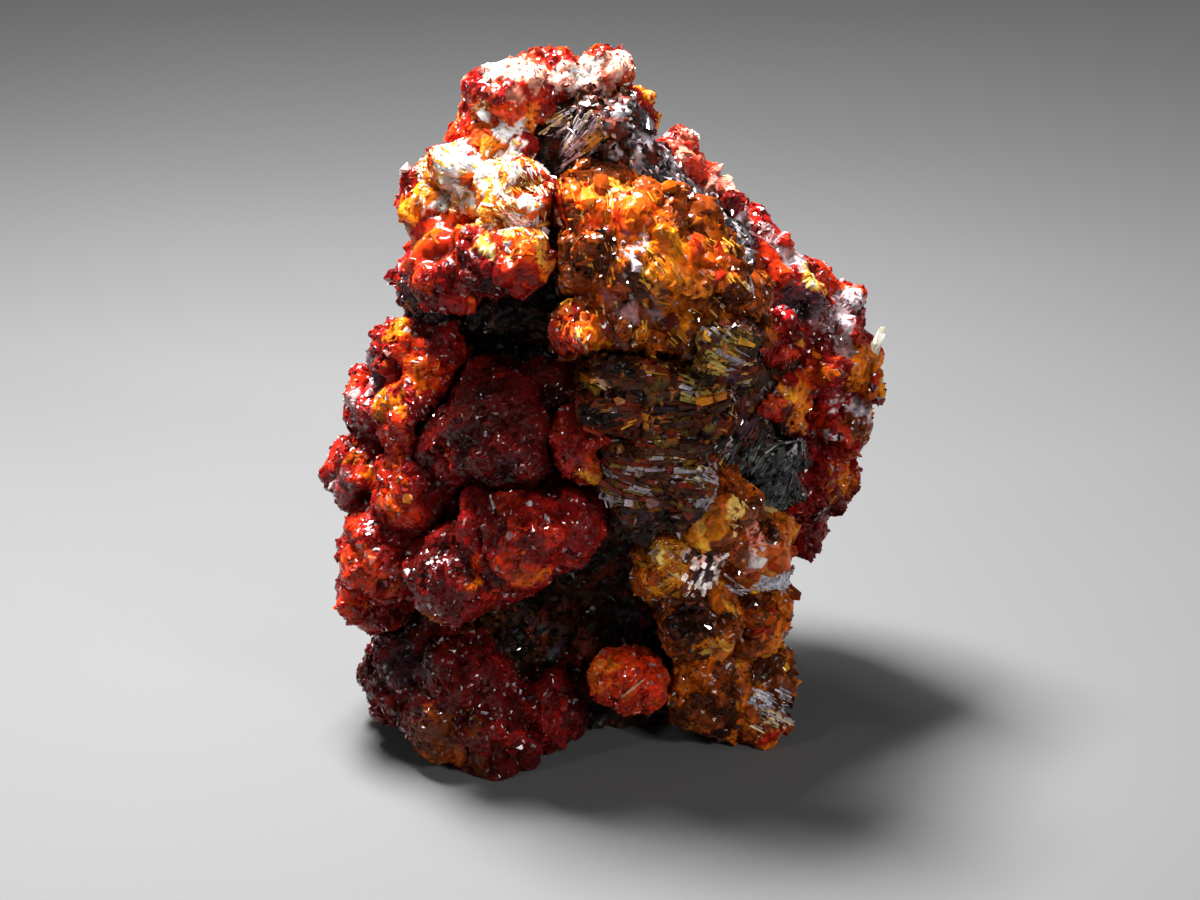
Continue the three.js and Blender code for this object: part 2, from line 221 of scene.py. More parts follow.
def piece_from(name, parts, materials):
    """One mesh object from parts, each its points, corners, point colours, material and
    whether it is smooth, both for the whole part or for each triangle."""
    mesh = bpy.data.meshes.new(name)
    starts = np.cumsum([0] + [len(part[0]) for part in parts[:-1]])
    points = np.concatenate([part[0] for part in parts])
    corners = np.concatenate([part[1] + start for part, start in zip(parts, starts)])
    colours = np.concatenate([part[2] for part in parts])
    points[:, 2] = np.maximum(points[:, 2], 0)  # nothing reaches below what it stands on
    finish = np.concatenate([np.zeros(len(part[1]), int) + part[3] for part in parts])
    smooth = np.concatenate([np.zeros(len(part[1]), bool) | part[4] for part in parts])
    mesh.vertices.add(len(points))
    mesh.vertices.foreach_set("co", (points * MM).ravel())
    mesh.loops.add(len(corners) * 3)
    mesh.loops.foreach_set("vertex_index", corners.ravel())
    mesh.polygons.add(len(corners))
    mesh.polygons.foreach_set("loop_start", np.arange(0, len(corners) * 3, 3))
    mesh.polygons.foreach_set("material_index", finish)
    mesh.polygons.foreach_set("use_smooth", smooth)
    mesh.update(calc_edges=True)
    tint = mesh.color_attributes.new("tint", "FLOAT_COLOR", "POINT")
    tint.data.foreach_set("color", np.c_[colours, np.ones(len(colours))].ravel())
    for material in materials:
        mesh.materials.append(material)
    piece = bpy.data.objects.new(name, mesh)
    bpy.context.scene.collection.objects.link(piece)
    return piece


def mineral_finish(name, roughness, sparkle, index, gleam, cell):
    """A mineral in its own tint, of fine crystals a cell across that each face their own way."""
    material = bpy.data.materials.new(name)
    material.use_nodes = True
    nodes, links = material.node_tree.nodes, material.node_tree.links
    shader = nodes["Principled BSDF"]
    shader.inputs["IOR"].default_value = index
    shader.inputs["Specular IOR Level"].default_value = gleam

    def ranged(value, low, high, to_low, to_high):
        node = nodes.new("ShaderNodeMapRange")
        keys = ("From Min", "From Max", "To Min", "To Max")
        for key, number in zip(keys, (low, high, to_low, to_high)):
            node.inputs[key].default_value = number
        links.new(value, node.inputs["Value"])
        return node.outputs["Result"]

    def vector(operation, first, second):
        node = nodes.new("ShaderNodeVectorMath")
        node.operation = operation
        links.new(first, node.inputs[0])
        if isinstance(second, tuple):
            node.inputs[1].default_value = second
        else:
            links.new(second, node.inputs["Scale" if operation == "SCALE" else 1])
        return node.outputs["Vector"]

    place = nodes.new("ShaderNodeTexCoord").outputs["Object"]
    cloud = nodes.new("ShaderNodeTexNoise")
    cloud.inputs["Scale"].default_value = 700
    cloud.inputs["Detail"].default_value = 5
    links.new(place, cloud.inputs["Vector"])
    cells = nodes.new("ShaderNodeTexVoronoi")
    cells.inputs["Scale"].default_value = 1 / (cell * MM)
    links.new(place, cells.inputs["Vector"])
    own = nodes.new("ShaderNodeSeparateColor")
    links.new(cells.outputs["Color"], own.inputs["Color"])
    tint = nodes.new("ShaderNodeAttribute")
    tint.attribute_name = "tint"
    colour = vector("SCALE", tint.outputs["Color"], ranged(cloud.outputs["Fac"], 0.3, 0.7, 0.6, 1.4))
    colour = vector("SCALE", colour, ranged(own.outputs["Red"], 0, 1, 0.7, 1.3))
    links.new(colour, shader.inputs["Base Color"])
    links.new(ranged(own.outputs["Green"], 0, 1, *roughness), shader.inputs["Roughness"])
    lean = vector("SUBTRACT", cells.outputs["Color"], (0.5, 0.5, 0.5))
    lean = vector("MULTIPLY", lean, (sparkle, sparkle, sparkle))
    facing = vector("ADD", nodes.new("ShaderNodeNewGeometry").outputs["Normal"], lean)
    links.new(vector("NORMALIZE", facing, (0, 0, 0)), shader.inputs["Normal"])
    return material


ROCK_BLACK, ROCK_BROWN, ROCK_GREY = (0.010, 0.006, 0.006), (0.04, 0.014, 0.007), (0.06, 0.055, 0.06)
ROCK_OLIVE, ROCK_RUSSET, ROCK_PLUM = (0.09, 0.05, 0.008), (0.13, 0.018, 0.006), (0.045, 0.014, 0.022)
ROCK_AMBER, ROCK_GLINT, ROCK_SLATE = (0.3, 0.09, 0.01), (0.55, 0.48, 0.52), (0.05, 0.055, 0.045)
ROCK_TONES = [  # share and colour
    (3, ROCK_BLACK), (3, ROCK_BROWN), (1.5, ROCK_RUSSET), (0.7, ROCK_OLIVE), (0.6, ROCK_GREY),
    (0.8, ROCK_PLUM),
]
ROCK_SPOTS = [  # place, reach, the spot's own colours
    ((3.5, -14.0, 34.0), 10.0,
     [ROCK_BLACK, ROCK_BROWN, ROCK_RUSSET, ROCK_RUSSET, ROCK_OLIVE, ROCK_AMBER]),
    # near black in the hollow under the top knob: painted shade
    ((-6.0, -6.0, 36.0), 7.0, [ROCK_BLACK, ROCK_BLACK, ROCK_BROWN]),
    ((3.0, -4.0, 50.0), 6.0, [ROCK_PLUM, ROCK_RUSSET, ROCK_BLACK, ROCK_GREY, ROCK_GLINT]),
    ((8.0, -3.0, 45.0), 7.0, [ROCK_PLUM, ROCK_BLACK, ROCK_GREY, ROCK_GLINT]),
    ((13.5, -2.0, 21.0), 5.0, [ROCK_BLACK, ROCK_GREY, ROCK_SLATE]),
]
rock = mineral_finish(
    "matrix rock", roughness=(0.15, 0.6), sparkle=0.6, index=1.5, gleam=0.25, cell=0.5
)
glossy_rock = mineral_finish(
    "glossy rock grains", roughness=(0.04, 0.25), sparkle=0.5, index=2.0, gleam=0.6, cell=0.8
)
ROCK, GLOSSY_ROCK = 0, 1  # their places in the list of the rock's finishes
rock_random = np.random.default_rng(21)
rock_points, rock_corners = skin_of("matrix", voxel=0.42, softening=2)
rock_points, rock_seeds, rock_owner, _ = grown_skin(
    rock_points, rock_corners, knob=1.6, height=0.4, facet=1.1, depth=0.25, sink=0.1,
    random=rock_random,
)
rock_open = others_than("matrix")
rock_tones = tones_at(rock_seeds, ROCK_TONES, rock_random, ROCK_SPOTS, vary=0.3)[rock_owner]
rock_parts = [(rock_points, rock_corners, rock_tones, ROCK, False)]
for grain_size, grain_share, grain_finish in ((0.75, 0.7, ROCK), (1.3, 0.3, GLOSSY_ROCK)):
    where, way = open_places(rock_points, rock_corners, grain_size, rock_open, rock_random)
    keep = rock_random.random(len(where)) < grain_share
    where, way = where[keep], way[keep]
    sizes = grain_size * np.exp(rock_random.normal(0, 0.28, (len(where), 3)))
    shapes = grain_shapes(kinds=8, corner_count=8, flatness=0.5, random=rock_random)
    grains = set_in(shapes, where, way, sizes, rock_random, lean=1)
    grain_tones = tones_at(where, ROCK_TONES, rock_random, ROCK_SPOTS, vary=0.35)
    rock_parts.append((grains[0], grains[1], grain_tones[grains[2]], grain_finish, False))
matrix_piece = piece_from("matrix_rock", rock_parts, [rock, glossy_rock])
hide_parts("matrix")
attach(matrix_piece, "root")


# Fibrous ledges. Where the rock is bare it breaks into slabs and bundles of thin silky laths,
# brown to olive, grey and cream, that lie along the ledges and run down under the top knob.
def calm_ways(points, corners, rounds):
    """The way a skin faces at each point once its small facets are averaged out."""
    ways = facings(points, corners)[1]
    for _ in range(rounds):
        mean = ways[corners].sum(1)
        for k in range(3):
            np.add.at(ways, corners[:, k], mean)
        ways = unit(ways)
    return ways


def laths_on(skin, at, half, along, tones, thickness, span, cover, random, veins=False):
    """Laths that lie on a skin inside a block round at, along one direction: over patches of it,
    or in thin winding veins."""
    points, corners, blocked = skin
    inside = corners[np.all(np.abs(points[corners].mean(1) - at) < half, axis=1)]
    where, _ = open_places(points, inside, thickness, blocked, random, reach=0.7)
    drift = cloudy(where, size=2.2, seed=6)
    vein_width = 0.045  # how far the drift may be from nought in a vein
    spread = np.exp(-((drift / vein_width) ** 2)) if veins else np.clip(0.8 + 2.2 * drift, 0, 1)
    where = where[random.random(len(where)) < cover * spread]
    used = np.unique(inside)
    tree = KDTree(len(used))
    for i in used:
        tree.insert(points[i], i)
    tree.balance()
    way = calm_ways(points, inside, rounds=6)[[tree.find(p)[1] for p in where]]
    swirl = np.stack([cloudy(where, size=5.0, seed=k) for k in (7, 8, 9)], 1) * 0.35
    run = unit(np.array(along) + swirl + random.normal(0, 0.06, way.shape))
    run = unit(run - way * (run * way).sum(1, keepdims=True))
    turned = np.stack([run, np.cross(way, run), way], 2)
    size = thickness * np.stack(
        [random.uniform(*span, len(where)), random.uniform(0.5, 1.6, len(where)),
         random.uniform(0.5, 1.1, len(where))], 1
    )
    ends, butt, tip = [-0.5, 0.5], 0.95, 0.6  # a lath narrows from its butt to its tip
    body = np.array([(x, y * (butt if x < 0 else tip), z) for x in ends for y in ends for z in ends])
    places, faces = hull(body)
    placed = np.einsum("nij,nvj->nvi", turned, places[None] * size[:, None])
    placed += (where + way * thickness * random.uniform(-0.3, 0.25, (len(where), 1)))[:, None]
    placed += random.normal(0, thickness * 0.1, placed.shape)
    offsets = np.arange(len(where)) * len(places)
    corners_out = (faces[None] + offsets[:, None, None]).reshape(-1, 3)
    colours = tones_at(where, tones, random, patch=1.2, vary=0.3, stretch=(0.4, 0.6, 1.4))
    return placed.reshape(-1, 3), corners_out, np.repeat(colours, len(places), 0), 0, False


SILKY_GREY, CREAM, OLIVE = (0.34, 0.3, 0.31), (0.7, 0.5, 0.26), (0.16, 0.08, 0.01)
DUSK, PALE_LILAC, HONEY = (0.015, 0.007, 0.006), (0.46, 0.35, 0.4), (0.5, 0.15, 0.008)
UMBER, PLUM, STRAW = (0.06, 0.015, 0.005), (0.05, 0.012, 0.018), (0.62, 0.28, 0.025)
RUST, PALE_OLIVE, PALE_SLATE = (0.16, 0.016, 0.005), (0.36, 0.25, 0.06), (0.14, 0.15, 0.12)
silky = mineral_finish(
    "silky fibres", roughness=(0.1, 0.4), sparkle=0.35, index=1.5, gleam=0.22, cell=0.35
)
fibre_random = np.random.default_rng(22)
rock_skin = (rock_points, rock_corners, rock_open)
DARK_BANDS = [(2.5, DUSK), (4, UMBER), (2, RUST), (1.2, OLIVE), (0.3, HONEY)]
FINE_BANDS = [(1, DUSK), (2, UMBER), (1.5, RUST), (1.2, OLIVE), (0.6, STRAW), (0.2, CREAM)]
PALE_BANDS = [(2, UMBER), (1.2, RUST), (1.2, OLIVE), (1.2, SILKY_GREY), (1, PALE_LILAC), (0.4, CREAM)]
BLOCK_BANDS = [(1, UMBER), (2, OLIVE), (2, PALE_OLIVE), (0.8, STRAW), (2.4, SILKY_GREY)]
TOP_BANDS = [(2, DUSK), (1.5, PLUM), (2.5, SILKY_GREY), (1.4, PALE_LILAC), (0.8, CREAM), (0.6, STRAW)]
HOLLOW_BANDS = [(2, ROCK_GREY), (1, PALE_SLATE), (0.7, SILKY_GREY)]
BUNDLES = [  # middle, half sizes, run of the laths, tones, thickness, span, share covered
    ((3.0, -12.0, 33.8), (8.5, 6.0, 4.6), (1, -0.2, 0.1), DARK_BANDS, 0.6, (1, 4), 0.3),
    ((3.0, -12.0, 33.8), (8.5, 6.0, 4.6), (1, -0.2, 0.1), FINE_BANDS, 0.18, (3, 12), 0.09),
    ((4.4, -12.0, 28.2), (5.0, 7.0, 2.6), (1, -0.1, -0.2), PALE_BANDS, 0.45, (1, 5), 0.5),
    ((4.4, -12.0, 28.2), (5.0, 7.0, 2.6), (1, -0.1, -0.2), PALE_BANDS, 0.13, (4, 14), 0.22),
    ((8.6, -12.5, 37.2), (2.6, 6.0, 2.8), (0.9, -0.4, -0.3), BLOCK_BANDS, 0.35, (1, 5), 0.6),
    ((8.6, -12.5, 37.2), (2.6, 6.0, 2.8), (0.9, -0.4, -0.3), BLOCK_BANDS, 0.12, (4, 12), 0.14),
    ((-3.2, -3.4, 50.4), (2.6, 5.0, 3.8), (0.6, -0.3, 0.75), TOP_BANDS, 0.15, (5, 18), 0.5),
    ((6.5, -3.0, 46.4), (6.5, 6.0, 4.6), (0.8, -0.2, -0.8), TOP_BANDS, 0.16, (2, 7), 0.08),
    ((13.5, -1.0, 21.6), (4.6, 5.0, 5.0), (0.7, -0.4, 0.7), HOLLOW_BANDS, 0.13, (4, 14), 0.08),
    ((4.0, 15.0, 31.0), (9.0, 6.0, 8.0), (1, 0.1, 0.3), DARK_BANDS, 0.5, (1, 4), 0.25),
    ((4.0, 15.0, 31.0), (9.0, 6.0, 8.0), (1, 0.1, 0.3), FINE_BANDS, 0.2, (3, 12), 0.05),
    ((-4.0, 14.0, 15.0), (7.0, 7.0, 9.0), (0.8, 0.1, -0.6), DARK_BANDS, 0.5, (1, 4), 0.25),
    ((-4.0, 14.0, 15.0), (7.0, 7.0, 9.0), (0.8, 0.1, -0.6), PALE_BANDS, 0.2, (3, 12), 0.05),
]
fibres = piece_from(
    "ledge_fibres", [laths_on(rock_skin, *bundle, fibre_random) for bundle in BUNDLES], [silky]
)
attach(fibres, "root")


# The top knob and the shoulder under it. Like all the zincite it is one crust of small glassy
# grains that grew together: red where it is deep and orange where it is thin, and pale cream to
# pinkish white on its top and shoulder, which is painted highlight.
def zincite_finish(name, clearness, glow, roughness, sparkle, index, gleam, cell):
    """Glassy mineral with a deep body: partly clear, with light that spreads inside it."""
    material = mineral_finish(name, roughness, sparkle, index, gleam, cell)
    shader = material.node_tree.nodes["Principled BSDF"]
    shader.inputs["Transmission Weight"].default_value = clearness
    shader.inputs["Subsurface Weight"].default_value = glow
    shader.inputs["Subsurface Radius"].default_value = (1.0, 0.45, 0.25)  # red goes furthest
    shader.inputs["Subsurface Scale"].default_value = 0.6 * MM
    return material


RED = [  # how thin the crystal is, and the colour that comes through it
    (0.0, (0.006, 0.002, 0.002)), (0.25, (0.025, 0.003, 0.002)), (0.45, (0.09, 0.004, 0.003)),
    (0.62, (0.25, 0.006, 0.005)), (0.75, (0.55, 0.028, 0.004)), (0.87, (0.82, 0.14, 0.005)),
    (1.0, (0.93, 0.42, 0.06)),
]
HONEYED = [
    (0.0, (0.008, 0.003, 0.002)), (0.25, (0.03, 0.007, 0.002)), (0.45, (0.11, 0.02, 0.003)),
    (0.62, (0.34, 0.055, 0.004)), (0.78, (0.75, 0.17, 0.004)), (0.9, (0.9, 0.32, 0.012)),
    (1.0, (0.95, 0.6, 0.2)),
]
# Red to pink, then pinkish white whose pale end is painted highlight, for tops and glints that the
# light makes pale.
ROSY_TO_PAINTED_HIGHLIGHT = [
    (0.0, (0.2, 0.01, 0.006)), (0.4, (0.55, 0.04, 0.015)), (0.55, (0.85, 0.35, 0.25)),
    (0.7, (0.95, 0.75, 0.68)), (1.0, (0.97, 0.93, 0.9)),
]
# Red through orange and yellow, then cream and white whose pale end is painted highlight, for the lit
# shoulder.
CREAMY_TO_PAINTED_HIGHLIGHT = [
    (0.0, (0.2, 0.01, 0.004)), (0.36, (0.6, 0.04, 0.005)), (0.46, (0.95, 0.2, 0.01)),
    (0.52, (0.97, 0.5, 0.1)), (0.57, (0.98, 0.9, 0.85)), (1.0, (0.98, 0.95, 0.95)),
]
# Dark red to pale lilac and white: painted highlight, the lilac glints where facets catch the light.
PAINTED_LILAC_HIGHLIGHT = [
    (0.0, (0.05, 0.008, 0.006)), (0.5, (0.17, 0.018, 0.016)), (0.6, (0.3, 0.15, 0.15)),
    (0.68, (0.68, 0.56, 0.6)), (1.0, (0.9, 0.84, 0.88)),
]
PLUMMY = [(0.0, (0.01, 0.005, 0.006)), (0.5, (0.07, 0.025, 0.032)), (1.0, (0.5, 0.4, 0.44))]


def depth_tones(where, depths, thinness, stray, spots, random, speckle=0.4):
    """The colour at each place of a crust, from how thin it is there, or from a spot's own depths."""
    def through(steps, share):
        marks = [mark for mark, _ in steps]
        return np.stack([np.interp(share, marks, [c[k] for _, c in steps]) for k in range(3)], 1)

    drift = 1.6 * cloudy(where, size=2.6, seed=3) + random.normal(0, speckle, len(where))
    colours = through(depths, thinness + stray * drift)
    for at, reach, own_depths, own_thinness in spots:
        far = np.linalg.norm(where - np.array(at), axis=1) / reach
        near = random.random(len(where)) < np.clip(2.4 - 2 * far, 0, 1)
        colours[near] = through(own_depths, own_thinness + stray * drift[near])
    return colours


def painted_top_sheen(colours, where, way, share, random):
    """Painted highlight: the colours of crystals with a share of those that face up turned to a pale
    lilac sheen, as light from above shows on them.
    """
    pale = random.random(len(where)) < share * np.clip(2 * way[:, 2] - 0.2, 0, 1)
    colours[pale] = depth_tones(where[pale], PAINTED_LILAC_HIGHLIGHT, 0.66, stray=0.2, spots=(), random=random)
    return colours


BODY, GRAINS, CLEAR, GLINTS = range(4)  # places in the list of the zincite finishes


def glassy_group(points, corners, at, radius, tone, random):
    """A few clear crystals with broad facets that share one spot of the skin, the place nearest
    to at, and stand barely proud of it."""
    small, count = 6, 7  # small crystals round one large one
    ways = calm_ways(points, corners, rounds=6)
    centre = np.linalg.norm(points - at, axis=1).argmin()
    close = np.nonzero(np.linalg.norm(points - points[centre], axis=1) < radius * 0.75)[0]
    seats = np.r_[centre, random.choice(close, small)]
    sizes = radius * np.r_[1.25, random.uniform(0.6, 1.0, small)][:, None]
    sizes = sizes * random.uniform(0.8, 1.2, (count, 3))
    shapes = grain_shapes(kinds=count, corner_count=22, flatness=0.7, random=random)
    where = points[seats] - ways[seats] * sizes[:, :1] * 0.3
    made = set_in(shapes, where, ways[seats], sizes, random, lean=0.5)
    tones = np.array(tone) * random.uniform(0.55, 1.15, (count, 1))
    return made[0], made[1], tones[made[2]], CLEAR, False


def painted_shade_at(where, blocked, rise):
    """Painted shade: how much darker the crust is made down in its creases and where it meets its
    neighbours, and a little lighter on its knobs.
    """
    gap = np.array([blocked.find_nearest(Vector(p))[3] for p in where])
    return (np.clip(0.35 + gap * 0.45, 0, 1) * np.clip(1 + rise, 0.35, 1.2))[:, None]


def crust(name, node, seed, depths, thinness, stray=0.1, spots=(), grains=((0.6, 0.6),),
          knob=2.0, height=0.7, facet=1.2, depth=0.25, sink=0.15, flatness=0.5, lean=0.9,
          glints=0.12, sheen_share=0.15, smooth=(), lumps=()):
    """A group of crystals in place of its solid: a faceted skin with grains set into it, and
    smooth glassy stretches where no grains grew."""
    glint_spacing, large, small = 0.8, 1.4, 1.1  # of grains; small ones get a painted pale sheen where they face up
    random = np.random.default_rng(seed)
    points, corners = skin_of(node, voxel=0.3, softening=5)
    points, seeds, owner, rise = grown_skin(points, corners, knob, height, facet, depth, sink, random)
    glassy = np.zeros(len(points), bool)
    for at, reach in smooth:
        glassy |= np.linalg.norm(points - np.array(at), axis=1) < reach
    for _ in range(2):
        total, count = np.zeros_like(points), np.zeros(len(points))
        for k in range(3):
            np.add.at(total, corners[:, k], points[corners].sum(1))
            np.add.at(count, corners[:, k], 3)
        points[glassy] = total[glassy] / count[glassy, None]
    blocked = others_than(node)
    colours = depth_tones(seeds, depths, thinness, stray, spots, random)[owner]
    colours[glassy] = depth_tones(
        points[glassy], depths, thinness, 0.5 * stray, spots, random, speckle=0.05
    )
    clear = glassy[corners].all(1)
    finishes = np.where(clear, CLEAR, BODY)
    # The skin's colours carry painted shade in its creases and against its neighbours.
    parts = [(points, corners, colours * painted_shade_at(points, blocked, rise), finishes, clear)]
    sown = [(*grain, GRAINS) for grain in grains] + [(glint_spacing, glints, GLINTS)]
    for spacing, share, finish in sown:
        where, way = open_places(points, corners, spacing, blocked, random)
        keep = random.random(len(where)) < share
        for at, reach in smooth:
            keep &= np.linalg.norm(where - np.array(at), axis=1) > reach
        where, way = where[keep], way[keep]
        shapes = grain_shapes(12, 9 if spacing < large else 12, flatness, random)
        sizes = spacing * 1.2 * np.exp(random.normal(0, 0.25, (len(where), 3)))
        made = set_in(shapes, where - way * spacing * 0.25, way, sizes, random, lean)
        colours = depth_tones(where, depths, thinness, stray, spots, random)
        # Painted highlight: a share of the small grains that face up turn pale lilac.
        if spacing < small:
            colours = painted_top_sheen(colours, where, way, sheen_share, random)
        # The grains carry painted shade where they meet the neighbouring solids.
        colours *= painted_shade_at(where, blocked, np.zeros(len(where)))
        parts.append((made[0], made[1], colours[made[2]], finish, False))
    for at, radius, tone in lumps:
        parts.append(glassy_group(points, corners, np.array(at), radius, tone, random))
    piece = piece_from(name, parts, [zincite_body, zincite_grains, zincite_clear, zincite_glints])
    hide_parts(node)
    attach(piece, "root")
    return points, corners, blocked


zincite_body = zincite_finish(
    "zincite body", clearness=0, glow=0.6, roughness=(0.04, 0.3), sparkle=0.65, index=1.5,
    gleam=0.24, cell=0.32,
)
zincite_grains = zincite_finish(
    "zincite grains", clearness=0.2, glow=0.4, roughness=(0.02, 0.16), sparkle=0.4, index=1.5,
    gleam=0.36, cell=0.5,
)
zincite_clear = zincite_finish(
    "clear zincite", clearness=0.3, glow=0.6, roughness=(0.1, 0.35), sparkle=0.3, index=1.5,
    gleam=0.16, cell=0.45,
)
zincite_glints = zincite_finish(
    "zincite glints", clearness=0, glow=0.2, roughness=(0.01, 0.08), sparkle=0.15, index=2.0,
    gleam=0.8, cell=0.6,
)
CLEAR_RED, CLEAR_ORANGE = (0.75, 0.02, 0.006), (0.92, 0.14, 0.005)
crown_skin = crust(
    "crown_crust", "zincite_crown", seed=31, depths=RED, thinness=0.68, stray=0.18,
    spots=[  # place, reach, the spot's own depths and thinness
        ((-7.6, -2.6, 57.6), 3.4, ROSY_TO_PAINTED_HIGHLIGHT, 0.53), ((-8.6, -5.4, 53.6), 2.6, CREAMY_TO_PAINTED_HIGHLIGHT, 0.47),
        ((-0.4, -2.2, 56.8), 2.8, ROSY_TO_PAINTED_HIGHLIGHT, 0.62), ((1.4, 0.2, 53.4), 2.4, RED, 0.7),
        ((-9.9, -8.4, 49.6), 3.8, CREAMY_TO_PAINTED_HIGHLIGHT, 0.5), ((-13.2, -6.0, 50.0), 2.6, CREAMY_TO_PAINTED_HIGHLIGHT, 0.48),
        ((-6.4, -10.8, 49.0), 2.8, CREAMY_TO_PAINTED_HIGHLIGHT, 0.47), ((-8.4, -12.4, 47.2), 1.5, HONEYED, 0.88),
        ((-15.2, -5.2, 46.4), 2.2, HONEYED, 0.72), ((-13.6, -9.0, 45.4), 3.2, RED, 0.76),
        ((-11.0, -12.4, 43.0), 3.0, RED, 0.5), ((-6.7, -13.8, 43.4), 1.9, RED, 0.7),
        ((-8.0, -12.8, 45.8), 0.9, HONEYED, 0.92), ((-14.0, -6.0, 38.5), 3.0, PLUMMY, 0.3),
    ],
    grains=((0.5, 0.45), (1.0, 0.3), (1.7, 0.12)), facet=1.3, sheen_share=0.2, glints=0.2,
    smooth=[((-13.8, -8.8, 45.6), 2.6), ((-6.7, -13.8, 43.6), 1.7)],
    lumps=[  # place, radius, colour
        ((-13.4, -9.0, 45.9), 2.2, CLEAR_ORANGE), ((-15.4, -6.6, 47.0), 1.4, CLEAR_ORANGE),
        ((-6.6, -13.9, 43.4), 1.5, CLEAR_RED), ((1.4, -0.4, 53.4), 1.9, CLEAR_RED),
    ],
)
# The laths on the shoulder: honey and straw fibres, and cream and white ones that are painted
# highlight.
LIT_BANDS = [(1, HONEY), (1.4, STRAW), (1.4, (0.95, 0.7, 0.4)), (3, (0.98, 0.92, 0.88))]
shoulder_random = np.random.default_rng(61)
SHOULDER = [
    ((-10.5, -6.0, 49.0), (4.6, 6.0, 2.2), (0.85, -0.3, -0.35), LIT_BANDS, 0.12, (2, 9), 0.07),
    ((-6.0, -9.0, 49.0), (3.0, 4.0, 2.4), (0.5, -0.5, -0.7), LIT_BANDS, 0.12, (2, 9), 0.07),
]
streaks = piece_from(
    "shoulder_streaks", [laths_on(crown_skin, *band, shoulder_random) for band in SHOULDER], [silky]
)
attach(streaks, "root")


# The amber ridge that comes forward right of the middle. It is blocky honey and orange-brown
# zincite, grown out from the rock behind it, with thin pale veins between its blocks.
ridge_skin = crust(
    "ridge_crust", "zincite_amber_ridge", seed=32, depths=HONEYED, thinness=0.54,
    stray=0.17,
    spots=[
        ((-1.2, -11.6, 48.6), 2.6, RED, 0.8), ((2.0, -13.0, 48.8), 2.6, RED, 0.84),
        # the lilac spots on the ridge are painted highlight, glints on its facets
        ((-1.2, -13.4, 45.6), 3.0, HONEYED, 0.4), ((1.6, -14.4, 46.4), 1.3, PAINTED_LILAC_HIGHLIGHT, 0.55),
        ((4.4, -15.0, 45.4), 2.8, HONEYED, 0.74), ((8.0, -13.6, 45.0), 2.6, RED, 0.82),
        ((6.6, -15.6, 42.0), 2.4, HONEYED, 0.72), ((2.2, -15.6, 42.6), 2.0, HONEYED, 0.42),
        ((0.2, -15.6, 41.6), 1.4, PAINTED_LILAC_HIGHLIGHT, 0.56), ((5.4, -16.0, 40.6), 1.6, PAINTED_LILAC_HIGHLIGHT, 0.62),
        ((-2.6, -15.4, 40.2), 2.4, RED, 0.66),
    ],
    grains=((0.6, 0.35), (1.2, 0.35), (1.8, 0.2)), facet=1.6, height=0.45, flatness=0.45,
    glints=0.12, sheen_share=0.08, smooth=[((2.2, -13.2, 48.8), 1.9), ((8.0, -13.6, 45.0), 1.5)],
    lumps=[((2.4, -13.2, 48.9), 2.1, CLEAR_ORANGE), ((8.0, -13.6, 45.0), 1.6, CLEAR_ORANGE)],
)
VEIN_BANDS = [(1, UMBER), (2, HONEY), (2, STRAW), (1.2, CREAM), (0.5, PALE_LILAC)]
vein_random = np.random.default_rng(62)
VEINS = [
    ((0.0, -12.0, 44.5), (4.0, 8.0, 6.0), (0.25, -0.3, -0.9), VEIN_BANDS, 0.14, (2, 9), 0.16),
    ((7.0, -12.0, 41.5), (5.5, 8.0, 5.5), (0.7, -0.3, -0.6), VEIN_BANDS, 0.14, (2, 9), 0.16),
]
veins = piece_from(
    "ridge_veins", [laths_on(ridge_skin, *vein, vein_random, veins=True) for vein in VEINS], [silky]
)
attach(veins, "root")


# The nodule at the left end of the ledges: a rounded ball of fine zincite grains that grew on
# the rock there, red on its left and amber on its right.
crust(
    "amber_nodule_crust", "zincite_amber_nodule", seed=33, depths=RED,
    thinness=0.66, stray=0.08, spots=[((0.2, -15.2, 27.6), 2.0, HONEYED, 0.8)],
    grains=((0.5, 0.6),), knob=1.2, height=0.3,
)


# The two bosses left of the middle: rounded masses of fine zincite grains that grew out over the
# hollows of the rock. The upper one is dark and nearly opaque, the lower one crimson with small
# lobes round its edge.
crust(
    "upper_boss_crust", "zincite_upper_boss", seed=34, depths=RED, thinness=0.43,
    stray=0.09, spots=[((-12.5, -11.0, 26.5), 2.4, RED, 0.6), ((-9.0, -13.0, 31.0), 3.4, RED, 0.37)],
    grains=((0.45, 0.4),), depth=0.16, glints=0.1, sheen_share=0.05,
)
crust(
    "lower_boss_crust", "zincite_lower_boss", seed=35, depths=RED, thinness=0.57,
    stray=0.1,
    spots=[
        ((-13.4, -14.6, 18.6), 3.6, RED, 0.42), ((-7.0, -17.3, 19.4), 2.4, RED, 0.73),
        ((-14.4, -14.4, 14.0), 1.3, HONEYED, 0.66), ((-10.6, -16.0, 19.4), 1.1, RED, 0.8),
    ],
    grains=((0.5, 0.5), (1.0, 0.15)), depth=0.2, glints=0.2, sheen_share=0.1,
)


